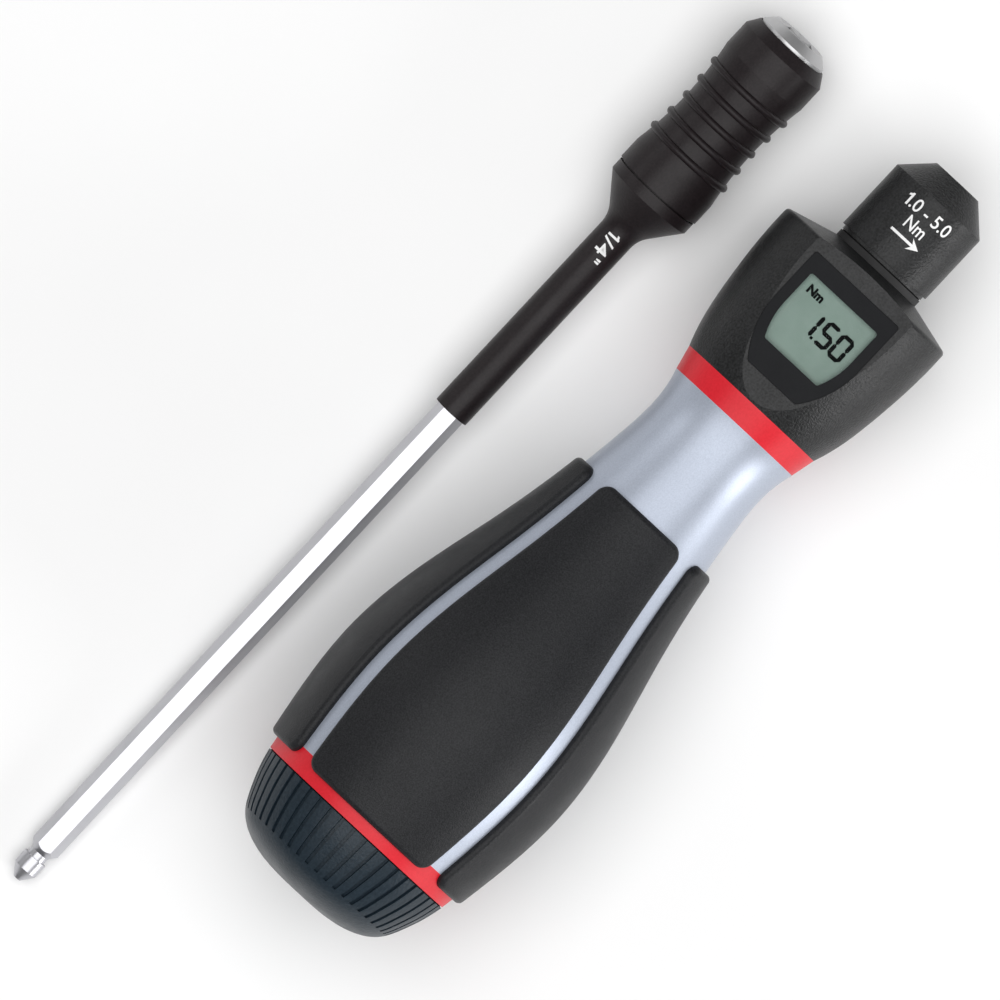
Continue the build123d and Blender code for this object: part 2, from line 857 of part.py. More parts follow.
def make_adjuster_screw():
    """Screw with a thrust collar, a plain journal and a hexagon for the knob."""
    hex_x = knob_floor
    hex_end = hex_x + screw_hex_length
    screw = hexagon(hex_x, hex_end, screw_hex)
    screw = screw + ring(hex_end, screw_end_x, 0, screw_r)
    screw = screw + ring(screw_collar_x, screw_thread_x, 0, screw_collar_r)
    return screw - knob_screw_blank(press_gap)


def make_rear_plate():
    return ring(rear_plate_x, rear_washer_x, screw_r + run_gap, tube_inner_r - press_gap)


def make_blade_shank():
    """Hexagon bar with a snap groove and a rounded tip, pressed into the bit holder."""
    full = blade_across_flats
    envelope = turned(
        (0, 0),
        (shank_end_x, 0),
        (shank_end_x, full),
        (shank_x + full - blade_across_flats / math.sqrt(3), full),
        (shank_x, blade_across_flats / math.sqrt(3)),
        (shoulder_x, snap_groove_r),
        (groove_x, snap_groove_r),
        (groove_x, snap_r),
        (snap_cone_length, snap_r),
        (0, tip_r),
    )
    return hexagon(0, shank_end_x, blade_across_flats) & envelope


def make_blade_sleeve():
    """Moulded sleeve on the shank that flares out to a collar with a lip behind the release sleeve."""
    angle = math.radians(flare_angle)
    bend = (flare_x + flare_run, sleeve_tube_r + flare_rise)
    end = blade_collar_x + collar_length
    edges = [
        Line((shank_bare_length, 0), (shank_bare_length, sleeve_tube_r)),
        Line((shank_bare_length, sleeve_tube_r), (flare_x, sleeve_tube_r)),
        TangentArc((flare_x, sleeve_tube_r), bend, tangent=(1, 0)),
        Line(bend, (blade_collar_x, sleeve_tube_r + flare_rise + flare_slope_run * math.tan(angle))),
        Line((blade_collar_x, collar_r), (end, collar_r)),
        Line((end, collar_r), (end, 0)),
        Line((end, 0), (shank_bare_length, 0)),
    ]
    sleeve = revolve(make_face(edges), Axis.X)
    sleeve = sleeve - hexagon(shank_bare_length, end, blade_across_flats + 2 * press_gap)
    sleeve = sleeve - ring(holder_x, end, 0, holder_tail_r + press_gap)
    return sleeve + ring(end, release_x - run_gap, holder_r + press_gap, collar_lip_r)


def make_bit_holder():
    """Steel holder with the bit socket, a hole for the locking ball and a flange at its mouth."""
    step = blade_collar_x + collar_length + press_gap
    slope = holder_nose_r - holder_nose_end_r
    body = turned(
        (holder_x, 0),
        (blade_end_x, 0),
        (blade_end_x, holder_nose_end_r),
        (blade_end_x - slope, holder_nose_r),
        (holder_nose_x, holder_nose_r),
        (holder_nose_x, holder_r),
        (step, holder_r),
        (step, holder_tail_r),
        (holder_x, holder_tail_r),
    )
    body = body - hexagon(bit_socket_x, blade_end_x, bit_across_flats)
    corner = bit_across_flats / math.sqrt(3)
    mouth = blade_end_x - bit_mouth_chamfer
    wide = corner + bit_mouth_chamfer / 2
    narrow = corner - bit_mouth_chamfer
    body = body - turned((mouth, 0), (blade_end_x, 0), (blade_end_x, wide), (mouth, narrow))
    body = body - ring(magnet_x, bit_socket_x, 0, magnet_r + press_gap)
    body = body - hexagon(holder_x, shank_end_x, blade_across_flats + 2 * press_gap)
    return body - post(lock_x, 0, 0, far_r, lock_ball_r + press_gap)


def release_outline():
    """Outer line of the release sleeve: two lands, a long hollow waist and a chamfered mouth."""
    waist_rear = release_x + release_rear_land
    waist_front = release_end_x - release_chamfer_length - release_front_land
    middle = (waist_rear + waist_front) / 2
    return waist_rear, middle, waist_front


def make_release_sleeve():
    """Ribbed sleeve that slides forward on the bit holder to free the bit."""
    waist_rear, middle, waist_front = release_outline()
    chamfer_x = release_end_x - release_chamfer_length
    waist_r = release_r - release_waist_depth
    edges = [
        Line((release_x, 0), (release_x, release_r)),
        Line((release_x, release_r), (waist_rear, release_r)),
        ThreePointArc((waist_rear, release_r), (middle, waist_r), (waist_front, release_r)),
        Line((waist_front, release_r), (chamfer_x, release_r)),
        Line((chamfer_x, release_r), (release_end_x, release_mouth_r)),
        Line((release_end_x, release_mouth_r), (release_end_x, 0)),
        Line((release_end_x, 0), (release_x, 0)),
    ]
    sleeve = revolve(make_face(edges), Axis.X)
    reach = (waist_front - waist_rear) / 2
    sweep_r = (reach**2 + release_waist_depth**2) / (2 * release_waist_depth)
    for i in range(rib_count):
        offset = (i - (rib_count - 1) / 2) * rib_pitch
        line_r = waist_r + sweep_r - math.sqrt(sweep_r**2 - offset**2)
        rib = Pos(middle + offset, 0, 0) * Rot(0, 90, 0) * Torus(line_r, rib_wire_r)
        sleeve = sleeve + rib
    sleeve = sleeve - ring(release_x, release_end_x, 0, release_bore_r)
    land_x = lock_x - lock_land_rear
    relief_r = release_bore_r + relief_depth
    sleeve = sleeve - ring(land_x - relief_length, land_x, 0, relief_r)
    return sleeve - ring(lock_x + lock_land_front, release_end_x, 0, release_chamber_r)


def make_locking_ball():
    return Pos(lock_x, 0, holder_r - lock_ball_r) * Sphere(lock_ball_r)


def handle_pieces():
    """Every piece of the handle, along the handle's own axis."""
    pieces = {"grip_core": make_grip_core()}
    panel = make_grip_panel()
    for i, side in enumerate(("front", "left", "back", "right")):
        pieces["grip_" + side] = Rot(-360 * i / grip_count, 0, 0) * panel
    pieces["rear_ring"] = make_rear_ring()
    pieces["front_band"] = make_front_band()
    pieces["adjuster_knob"] = make_adjuster_knob()
    pieces["knob_screw"] = make_knob_screw()
    pieces["knob_plug"] = make_knob_plug()
    pieces["knob_o_ring"] = make_knob_o_ring()
    pieces["head_housing"] = make_head_housing()
    pieces["display_frame"] = make_display_frame()
    pieces["display_window"] = make_display_window()
    pieces["lcd_panel"] = make_lcd_panel()
    pieces["lcd_connectors"] = make_lcd_connectors()
    pieces["circuit_board"] = make_circuit_board()
    pieces["sensor_strip"] = make_sensor_strip()
    pieces["sensor_wiper"] = make_sensor_wiper()
    pieces["battery"] = make_battery()
    pieces["battery_contacts"] = make_battery_contacts()
    pieces["battery_cover"] = make_battery_cover()
    pieces["battery_cover_screws"] = make_battery_cover_screws()
    pieces["clutch_tube"] = make_clutch_tube()
    pieces["spindle"] = make_spindle()
    pieces["blade_catch_ball"] = make_blade_catch_ball()
    pieces["blade_catch_ring"] = make_blade_catch_ring()
    pieces["nose_sleeve"] = make_nose_sleeve()
    pieces["nose_seal"] = make_nose_seal()
    pieces["front_bush"] = ring(bush_x, bush_x + bush_length, spindle_r + run_gap, bush_r)
    pieces["spindle_circlip"] = clip(
        clip_front_x, circlip_thickness, spindle_r - circlip_depth + press_gap, circlip_r, circlip_opening
    )
    pieces["thrust_races"] = make_thrust_races()
    thrust_x = web_x - race_thickness - thrust_ball_r
    thrust_pitch = (race_inner_r + race_outer_r) / 2
    pieces["thrust_balls"] = ball_ring(thrust_x, thrust_pitch, thrust_ball_r - press_gap, thrust_ball_count)
    clutch_x = disc_x + clutch_pocket_depth - clutch_ball_r
    pieces["clutch_balls"] = ball_ring(clutch_x, clutch_pitch_r, clutch_ball_r, clutch_ball_count)
    pieces["clutch_plate"] = make_clutch_plate()
    pieces["front_spring_washer"] = ring(spring_front_x, plate_x, spring_washer_bore_r, spring_washer_r)
    pieces["main_spring"] = coil(spring_rear_x, spring_front_x, spring_r, spring_wire_r, spring_turns)
    washer_x = nut_x + nut_length
    pieces["rear_spring_washer"] = ring(washer_x, spring_rear_x, spring_washer_bore_r, spring_washer_r)
    pieces["spring_nut"] = make_spring_nut()
    pieces["adjuster_screw"] = make_adjuster_screw()
    pieces["rear_thrust_washer"] = ring(rear_washer_x, screw_collar_x, screw_r + run_gap, rear_washer_r)
    pieces["rear_plate"] = make_rear_plate()
    clip_r = tube_inner_r + rear_clip_depth - press_gap
    pieces["rear_circlip"] = clip(clip_x, rear_clip_thickness, rear_clip_inner_r, clip_r, circlip_opening)
    return pieces


def blade_pieces():
    """Every piece of the blade, along the blade's own axis."""
    spring_x = lock_x + lock_land_front
    spring_pitch_r = (release_bore_r + release_chamber_r) / 2
    return {
        "blade_shank": make_blade_shank(),
        "blade_sleeve": make_blade_sleeve(),
        "bit_holder": make_bit_holder(),
        "release_sleeve": make_release_sleeve(),
        "release_spring": coil(
            spring_x, holder_nose_x, spring_pitch_r, release_spring_wire_r, release_spring_turns
        ),
        "locking_ball": make_locking_ball(),
        "bit_magnet": ring(magnet_x, bit_socket_x, 0, magnet_r),
    }


def grouped(piece):
    """One shape for a piece that may be a list of separate solids."""
    return Compound(piece) if isinstance(piece, list) else piece


def laid(pieces, tilt, x, y):
    """Pieces tilted about Y to the way they lie, with their lowest point on the table."""
    placed = {name: Pos(x, y, 0) * Rot(0, tilt, 0) * grouped(piece) for name, piece in pieces.items()}
    lowest = min(shape.bounding_box().min.Z for shape in placed.values())
    return {name: Pos(0, 0, -lowest) * shape for name, shape in placed.items()}


def rest_angles():
    """Tilt of the handle, on its belly and head, and of the blade, on its sleeve and snap land."""
    belly = belly_r + grip_proud
    head_run = face_x - head_cone_length - head_corner_r - core_x - belly_from_rear
    handle_tilt = math.degrees(math.atan2(belly - head_r, head_run))
    blade_tilt = -math.degrees(math.atan2(release_r - snap_r, release_x - snap_cone_length))
    return handle_tilt, blade_tilt


def whole_tool():
    """Every piece where it lies, with the origin under the middle of the whole."""
    handle_tilt, blade_tilt = rest_angles()
    pieces = laid(handle_pieces(), handle_tilt, 0, 0)
    pieces |= laid(blade_pieces(), blade_tilt, blade_lead, blade_offset)
    box = Compound(list(pieces.values())).bounding_box()
    middle = box.center()
    shift = Pos(-middle.X, -middle.Y, -box.min.Z)
    return {name: shift * shape for name, shape in pieces.items()}


os.makedirs("parts", exist_ok=True)
for name, shape in whole_tool().items():
    export_step(shape, os.path.join("parts", name + ".step"))
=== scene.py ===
import json
import math

import bmesh
import bpy
from mathutils import Matrix, Vector


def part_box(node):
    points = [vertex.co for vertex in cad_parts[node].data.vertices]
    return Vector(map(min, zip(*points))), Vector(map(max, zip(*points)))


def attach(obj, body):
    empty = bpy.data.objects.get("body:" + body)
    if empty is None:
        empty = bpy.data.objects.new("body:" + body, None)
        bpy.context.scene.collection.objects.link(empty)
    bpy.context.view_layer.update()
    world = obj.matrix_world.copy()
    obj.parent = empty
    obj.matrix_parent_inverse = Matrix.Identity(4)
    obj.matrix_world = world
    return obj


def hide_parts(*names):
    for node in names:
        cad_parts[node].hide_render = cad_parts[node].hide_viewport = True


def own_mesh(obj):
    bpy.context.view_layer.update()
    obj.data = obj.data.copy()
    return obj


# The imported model, its box and the axes of its two tools, in metres
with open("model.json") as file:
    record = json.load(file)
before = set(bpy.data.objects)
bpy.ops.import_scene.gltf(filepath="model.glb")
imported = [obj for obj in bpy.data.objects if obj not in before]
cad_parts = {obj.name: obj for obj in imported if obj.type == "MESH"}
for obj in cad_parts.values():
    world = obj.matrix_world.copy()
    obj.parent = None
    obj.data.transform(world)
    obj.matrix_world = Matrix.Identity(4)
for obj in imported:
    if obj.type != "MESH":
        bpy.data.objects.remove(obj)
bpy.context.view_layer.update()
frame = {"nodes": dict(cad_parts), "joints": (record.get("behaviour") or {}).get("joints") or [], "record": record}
nodes = frame["nodes"]
joints = {joint["name"]: joint for joint in frame["joints"]}
mounts = {mount["name"]: mount for mount in frame["record"]["mounts"]}

# Sizes are in millimetres unless said otherwise, along a tool from the knob's end or the blade's tip
MM = 0.001

# Stretch of a noise's values over which colours and roughness run from low to high
NOISE_LOW = 0.3
NOISE_HIGH = 0.7

# Camera: straight down on the display's facet, turned so that the tools point to the upper right
VIEW_ALONG = 60.07
VIEW_ACROSS = 16.67
VIEW_TURN = 47.0
VIEW_WIDTH = 141.3
VIEW_DISTANCE = 6000.0
SENSOR_WIDTH = 36.0
CLIP_START = 10.0

# Softboxes: name, place and target in metres, size in metres and power in watts
SOFTBOXES = (
    ("overhead", (0.0, -0.1, 1.5), (0, 0, 0), 2.0, 29.0),
    ("right_box", (0.0, -1.0, 0.25), (0, 0, 0.02), 0.45, 5.2),
    ("left_box", (0.1, 1.0, 0.5), (0, 0, 0.02), 0.5, 1.6),
)
SURROUND_STRENGTH = 0.16
FLOOR_HALF = 4000.0

# Faces that carry marks
FACET_HEIGHT = 12.15
FRAME_THICKNESS = 1.1
DISPLAY_SLACK = 0.06
NOSE_RADIUS = 7.95
SLEEVE_RADIUS = 2.8
MARK_THICKNESS = 0.03

# Number on the display: its place, each digit with its left edge, strokes and decimal point
NUMBER_ALONG = 106.72
NUMBER_ACROSS = 0.71
DIGIT_WIDTH = 1.77
DIGIT_HEIGHT = 3.44
DIGITS = (("1", -DIGIT_WIDTH), ("5", 1.15), ("0", 3.75))
STROKE_HALF = 0.31
STROKE_LAP = 0.06
POINT_PLACE = 0.53
POINT_HALF = 0.22
SEGMENTS = {
    "1": "bc",
    "5": "acdfg",
    "0": "abcdef",
}

# Unit on the display: a weight, here and below, is in the built-in letters' own units
LCD_UNIT_ALONG = 111.74
LCD_UNIT_ACROSS = 3.91
LCD_UNIT_HEIGHT = 1.4
LCD_UNIT_WIDTH = 2.75
LCD_UNIT_WEIGHT = 0.055

# Figure one with a flag, as corners for a height of one
FIGURE_ONE = (
    (0.30, 0.0), (0.48, 0.0), (0.48, 1.0), (0.34, 1.0),
    (0.26, 0.90), (0.10, 0.82), (0.10, 0.67), (0.30, 0.74),
)

# Marks on the nose
NOSE_LETTERS = 2.0
RANGE_ALONG = 130.7
RANGE_ACROSS = -0.1
RANGE_WIDTH = 7.2
RANGE_WEIGHT = 0.008
RANGE_GAP = 0.3
NOSE_UNIT_ALONG = 128.2
NOSE_UNIT_WIDTH = 3.3
NOSE_UNIT_WEIGHT = 0.01
ARROW_ALONG = 125.9
ARROW_LENGTH = 5.2
ARROW_SHAFT_HALF = 0.2
ARROW_HEAD_LENGTH = 1.75
ARROW_HEAD_HALF = 0.95
ARROW_SWEEP = 0.72

# Bit size on the blade's sleeve
SIZE_ALONG = 123.0
SIZE_LETTERS = 2.0
SIZE_SLASH_HEIGHT = 2.1
SIZE_SLASH_WIDTH = 2.8
SIZE_SLASH_WEIGHT = 0.01
SIZE_SLASH_GAP = 0.25
SIZE_QUOTE = 0.75
SIZE_QUOTE_WEIGHT = 0.02
SIZE_QUOTE_RISE = 0.65
SIZE_QUOTE_GAP = 0.55

# Room that the main spring leaves for the clutch plate's lift
CLUTCH_ROOM = 0.65

# Glint of the display's window, seen straight on and how fast it grows as the view flattens
GLINT_STRAIGHT = 0.02
GLINT_POWER = 5.0

# Distances behind the bit holder's mouth between which its blackening fades out
BLACK_FULL = 4.2
BLACK_NONE = 3.6

# Near-black rings behind the knob and the nose that fill the running gaps with painted shade, where the floor
# would show through: name, distance along the handle, inner and outer radius
GAP_SHADE_RINGS = (
    ("knob_gap_shade", 12.3, 12.6, 16.3),
    ("nose_gap_shade", 121.1, 4.4, 7.35),
)
GAP_SHADE_THICKNESS = 0.12
RING_STEPS = 96


def tool_frame(origin, axis):
    """Matrix from a tool's own axes (x along it, y towards the blade, z up) to the scene."""
    along = Vector(axis).normalized()
    across = Vector((0, 1, 0))
    up = along.cross(across)
    turn = Matrix((along, across, up)).transposed().to_4x4()
    return Matrix.Translation(Vector(origin)) @ turn @ Matrix.Scale(MM, 4)


handle_frame = tool_frame(joints["knob_turn"]["pos_m"], joints["knob_turn"]["axis"])
blade_frame = tool_frame(mounts["blade_shank"]["pos_m"], joints["release_slide"]["axis"])


# Materials


class Surface:
    """A material under construction: its Principled shader and helpers that add node detail to it."""

    def __init__(self, name, **values):
        self.material = bpy.data.materials.new(name)
        self.material.use_nodes = True
        self.tree = self.material.node_tree
        self.shader = self.tree.nodes["Principled BSDF"]
        for key, value in values.items():
            self.shader.inputs[key.replace("_", " ")].default_value = value

    def add(self, kind, **settings):
        """New node of a kind, with its settings."""
        node = self.tree.nodes.new(kind)
        for key, value in settings.items():
            setattr(node, key, value)
        return node

    def link(self, source, target):
        """Joins an output to an input."""
        self.tree.links.new(source, target)

    def noise(self, size_mm, detail=4.0, stretch=1.0, rough=0.6):
        """Noise with features of a given size, drawn out along the tool by a factor."""
        place = self.add("ShaderNodeTexCoord")
        scale = self.add("ShaderNodeMapping")
        scale.inputs["Scale"].default_value = (1 / stretch, 1, 1)
        noise = self.add("ShaderNodeTexNoise")
        noise.inputs["Scale"].default_value = 1 / (size_mm * MM)
        noise.inputs["Detail"].default_value = detail
        noise.inputs["Roughness"].default_value = rough
        self.link(place.outputs["Object"], scale.inputs["Vector"])
        self.link(scale.outputs["Vector"], noise.inputs["Vector"])
        return noise.outputs["Fac"]

    def tint(self, factor, low, high, start=NOISE_LOW, stop=NOISE_HIGH):
        """Base colour that runs from low to high as a factor runs between two stops."""
        ramp = self.add("ShaderNodeValToRGB")
        ends = ramp.color_ramp.elements
        ends[0].position = start
        ends[0].color = (*low, 1)
        ends[1].position = stop
        ends[1].color = (*high, 1)
        self.link(factor, ramp.inputs["Fac"])
        self.link(ramp.outputs["Color"], self.shader.inputs["Base Color"])

    def polish(self, factor, low, high):
        """Roughness that runs from low to high over a noise's usual values."""
        span = self.add("ShaderNodeMapRange")
        span.inputs["From Min"].default_value = NOISE_LOW
        span.inputs["From Max"].default_value = NOISE_HIGH
        span.inputs["To Min"].default_value = low
        span.inputs["To Max"].default_value = high
        self.link(factor, span.inputs["Value"])
        self.link(span.outputs["Result"], self.shader.inputs["Roughness"])

    def bump(self, factor, depth_mm):
        """Relief of a given depth."""
        bump = self.add("ShaderNodeBump")
        bump.inputs["Strength"].default_value = 1.0
        bump.inputs["Distance"].default_value = depth_mm * MM
        self.link(factor, bump.inputs["Height"])
        self.link(bump.outputs["Normal"], self.shader.inputs["Normal"])


def moulded(name, low, high, grain_mm, depth_mm, rough, **values):
    """Moulded plastic or rubber: spark-eroded grain in relief and tint, with an uneven sheen."""
    surface = Surface(name, **values)
    grain = surface.noise(grain_mm, 2, rough=0.5)
    surface.tint(grain, low, high)
    surface.polish(surface.noise(5, 3), *rough)
    surface.bump(grain, depth_mm)
    return surface.material


def metal(name, low, high, rough, line_mm, stretch, depth_mm):
    """Bare metal: drawn or turned lines, faint stains and uneven polish."""
    surface = Surface(name, Metallic=1.0)
    surface.tint(surface.noise(6, 4), low, high)
    surface.polish(surface.noise(line_mm * 4, 4, stretch), *rough)
    surface.bump(surface.noise(line_mm, 3, stretch), depth_mm)
    return surface.material


def silver_plastic():
    """Satin silver plastic with fine metal flakes."""
    surface = Surface("silver_plastic", Metallic=0.35, Specular_IOR_Level=0.2)
    surface.tint(surface.noise(0.2, 2), (0.37, 0.405, 0.48), (0.44, 0.48, 0.56))
    surface.polish(surface.noise(5, 3), 0.36, 0.39)
    surface.bump(surface.noise(0.2, 2), 0.003)
    return surface.material


def dark_plastic(name):
    """Brown-black satin plastic of the blade's sleeve, and the lacquer that matches it."""
    return moulded(
        name,
        low=(0.0095, 0.0068, 0.0076),
        high=(0.0155, 0.0112, 0.0124),
        grain_mm=0.35,
        depth_mm=0.02,
        rough=(0.38, 0.48),
        Specular_IOR_Level=0.25,
    )


def clear_pane():
    """Clear window over the display: thin and faintly wavy, with a glint that grows at flat angles."""
    surface = Surface("display_window", Roughness=0.08, IOR=1.49)
    surface.tint(surface.noise(6, 2), (0.020, 0.024, 0.023), (0.030, 0.034, 0.033))
    surface.bump(surface.noise(8, 2), 0.003)
    slant = surface.add("ShaderNodeLayerWeight")
    slant.inputs["Blend"].default_value = 0.5
    steep = surface.add("ShaderNodeMath", operation="POWER")
    steep.inputs[1].default_value = GLINT_POWER
    glint = surface.add("ShaderNodeMath", operation="MULTIPLY_ADD")
    glint.inputs[1].default_value = 1 - GLINT_STRAIGHT
    glint.inputs[2].default_value = GLINT_STRAIGHT
    surface.link(slant.outputs["Facing"], steep.inputs[0])
    surface.link(steep.outputs["Value"], glint.inputs[0])
    surface.link(glint.outputs["Value"], surface.shader.inputs["Alpha"])
    return surface.material


def lcd_face():
    """Grey-green reflective display with a faint sparkle."""
    surface = Surface("lcd", Specular_IOR_Level=0.4)
    surface.tint(surface.noise(4, 3), (0.150, 0.228, 0.190), (0.182, 0.262, 0.224))
    surface.polish(surface.noise(0.2, 2), 0.35, 0.45)
    surface.bump(surface.noise(0.1, 2), 0.002)
    return surface.material


def circuit_board():
    """Lacquered board: green with faint darker tracks."""
    surface = Surface("circuit_board", Coat_Weight=0.6, Coat_Roughness=0.15)
    tracks = surface.noise(1.2, 2, 4)
    surface.tint(tracks, (0.010, 0.075, 0.028), (0.022, 0.130, 0.050), 0.45, 0.55)
    surface.polish(surface.noise(3, 2), 0.3, 0.45)
    surface.bump(tracks, 0.02)
    return surface.material


def holder_steel():
    """Steel bit holder: blackened behind, bright at its ground mouth."""
    surface = Surface("holder_steel", Metallic=1.0)
    place = surface.add("ShaderNodeTexCoord")
    split = surface.add("ShaderNodeSeparateXYZ")
    surface.link(place.outputs["Object"], split.inputs["Vector"])
    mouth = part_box("bit_holder")[1].x
    fade = surface.add("ShaderNodeMapRange")
    fade.inputs["From Min"].default_value = mouth - BLACK_FULL * MM
    fade.inputs["From Max"].default_value = mouth - BLACK_NONE * MM
    surface.link(split.outputs["X"], fade.inputs["Value"])
    surface.tint(fade.outputs["Result"], (0.02, 0.019, 0.019), (0.46, 0.46, 0.465), 0.0, 1.0)
    surface.polish(surface.noise(0.5, 3), 0.38, 0.46)
    surface.bump(surface.noise(0.15, 3), 0.003)
    return surface.material


def make_materials():
    """One material for each slot of the record."""
    return {
        "silver_plastic": silver_plastic(),
        "soft_grip": moulded(
            "soft_grip",
            low=(0.0065, 0.007, 0.008),
            high=(0.0205, 0.021, 0.0235),
            grain_mm=0.22,
            depth_mm=0.045,
            rough=(0.40, 0.48),
            Specular_IOR_Level=0.19,
        ),
        "red_plastic": moulded(
            "red_plastic",
            low=(0.60, 0.008, 0.018),
            high=(0.66, 0.011, 0.024),
            grain_mm=0.35,
            depth_mm=0.008,
            rough=(0.38, 0.46),
            Specular_IOR_Level=0.35,
        ),
        "knob_plastic": moulded(
            "knob_plastic",
            low=(0.009, 0.017, 0.025),
            high=(0.016, 0.027, 0.038),
            grain_mm=0.4,
            depth_mm=0.04,
            rough=(0.34, 0.44),
            Specular_IOR_Level=0.3,
        ),
        "head_plastic": moulded(
            "head_plastic",
            low=(0.001, 0.0011, 0.0013),
            high=(0.018, 0.0185, 0.0195),
            grain_mm=0.32,
            depth_mm=0.09,
            rough=(0.36, 0.46),
            Specular_IOR_Level=0.3,
        ),
        "display_frame": moulded(
            "display_frame",
            low=(0.0062, 0.0066, 0.0078),
            high=(0.0078, 0.0082, 0.0095),
            grain_mm=0.3,
            depth_mm=0.006,
            rough=(0.42, 0.5),
            Specular_IOR_Level=0.1,
        ),
        "display_window": clear_pane(),
        "lcd": lcd_face(),
        "seal_rubber": moulded(
            "seal_rubber",
            low=(0.006, 0.006, 0.0065),
            high=(0.010, 0.010, 0.0105),
            grain_mm=0.3,
            depth_mm=0.01,
            rough=(0.6, 0.75),
        ),
        "circuit_board": circuit_board(),
        "steel": metal(
            "steel",
            low=(0.46, 0.46, 0.47),
            high=(0.56, 0.56, 0.57),
            rough=(0.22, 0.34),
            line_mm=0.12,
            stretch=6,
            depth_mm=0.004,
        ),
        "spring_steel": metal(
            "spring_steel",
            low=(0.25, 0.25, 0.26),
            high=(0.33, 0.33, 0.34),
            rough=(0.26, 0.38),
            line_mm=0.1,
            stretch=3,
            depth_mm=0.004,
        ),
        "brass": metal(
            "brass",
            low=(0.62, 0.42, 0.15),
            high=(0.72, 0.51, 0.21),
            rough=(0.22, 0.34),
            line_mm=0.12,
            stretch=1,
            depth_mm=0.004,
        ),
        "nickel": metal(
            "nickel",
            low=(0.46, 0.46, 0.485),
            high=(0.52, 0.52, 0.545),
            rough=(0.30, 0.36),
            line_mm=0.1,
            stretch=30,
            depth_mm=0.003,
        ),
        "blade_plastic": dark_plastic("blade_plastic"),
        "sleeve_metal": dark_plastic("sleeve_metal"),
    }


def black_steel():
    """Blackened steel of the spindle."""
    return metal(
        "black_steel",
        low=(0.018, 0.018, 0.019),
        high=(0.026, 0.026, 0.027),
        rough=(0.4, 0.5),
        line_mm=0.12,
        stretch=6,
        depth_mm=0.004,
    )


def painted_gap_shade():
    """Near-black matt grained surface of the rings in the running gaps: painted shade for the gaps' dark inside.
    """
    return moulded(
        "painted_gap_shade",
        low=(0.004, 0.004, 0.004),
        high=(0.008, 0.008, 0.008),
        grain_mm=0.15,
        depth_mm=0.03,
        rough=(0.8, 0.95),
        Specular_IOR_Level=0.1,
    )


def printed(name, colour, rough, gloss):
    """Printed ink: slightly uneven, with a fine tooth."""
    surface = Surface(name, Specular_IOR_Level=gloss)
    surface.tint(surface.noise(0.6, 2), [0.9 * c for c in colour], colour)
    surface.polish(surface.noise(0.5, 2), rough, rough + 0.1)
    surface.bump(surface.noise(0.15, 2), 0.002)
    return surface.material


def dress_nodes(materials, special):
    """Each CAD piece takes the material of its slot, or its own where it has a special one."""
    for part in frame["record"]["subparts"]:
        name = part["node"]
        mesh = nodes[name].data
        mesh.materials.clear()
        mesh.materials.append(special.get(name) or materials[part["material_slot"]])


# New pieces


def piece(name, mesh, body, material):
    """New piece of the object that rides on a body."""
    obj = bpy.data.objects.new(name, mesh)
    bpy.context.scene.collection.objects.link(obj)
    mesh.materials.clear()
    mesh.materials.append(material)
    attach(obj, body)
    return obj


def pressed_spring(node, tool, room, steel):
    """Stands for a CAD spring, shortened once towards its front end by a fixed amount.

    Room is left free at the front end for what else moves there, in millimetres.
    """
    mesh = nodes[node].data.copy()
    to_tool = tool.inverted()
    places = [to_tool @ v.co for v in mesh.vertices]
    rear = min(place.x for place in places)
    length = max(place.x for place in places) - rear
    short = length - room
    for v, place in zip(mesh.vertices, places):
        place.x = rear + (place.x - rear) * short / length
        v.co = tool @ place
    spring = piece(node + "_coil", mesh, "handle", steel)
    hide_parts(node)
    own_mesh(spring)


def gap_shade_ring(name, x, inner, outer, material):
    """Thin near-black ring round the handle's axis that fills a running gap with painted shade, so that the floor
    doesn't show through.
    """
    bm = bmesh.new()
    loops = []
    for radius, side in ((inner, -1), (outer, -1), (outer, 1), (inner, 1)):
        loop = []
        for i in range(RING_STEPS):
            angle = 2 * math.pi * i / RING_STEPS
            across, up = radius * math.cos(angle), radius * math.sin(angle)
            place = Vector((x + side * GAP_SHADE_THICKNESS / 2, across, up))
            loop.append(bm.verts.new(handle_frame @ place))
        loops.append(loop)
    for first, second in zip(loops, loops[1:] + loops[:1]):
        for i in range(RING_STEPS):
            j = (i + 1) % RING_STEPS
            bm.faces.new((first[i], first[j], second[j], second[i]))
    bmesh.ops.recalc_face_normals(bm, faces=bm.faces)
    mesh = bpy.data.meshes.new(name)
    bm.to_mesh(mesh)
    bm.free()
    piece(name, mesh, "handle", material)


# Flat marks, and how they are laid on a face


def text_mesh(words, height, width, weight):
    """Flat solid letters, centred on the origin and fitted to a height and width.

    A weight above 0 makes them bolder.
    """
    curve = bpy.data.curves.new("letters", "FONT")
    curve.body = words
    curve.offset = weight
    curve.extrude = 0.5
    obj = bpy.data.objects.new("letters", curve)
    bpy.context.scene.collection.objects.link(obj)
    bpy.context.view_layer.update()
    mesh = bpy.data.meshes.new_from_object(obj.evaluated_get(bpy.context.evaluated_depsgraph_get()))
    bpy.data.objects.remove(obj)
    bpy.data.curves.remove(curve)
    xs = [v.co.x for v in mesh.vertices]
    ys = [v.co.y for v in mesh.vertices]
    middle = Vector(((min(xs) + max(xs)) / 2, (min(ys) + max(ys)) / 2, 0))
    across = width / (max(xs) - min(xs))
    tall = height / (max(ys) - min(ys))
    for v in mesh.vertices:
        offset = v.co - middle
        v.co = Vector((offset.x * across, offset.y * tall, offset.z * MARK_THICKNESS))
    return mesh


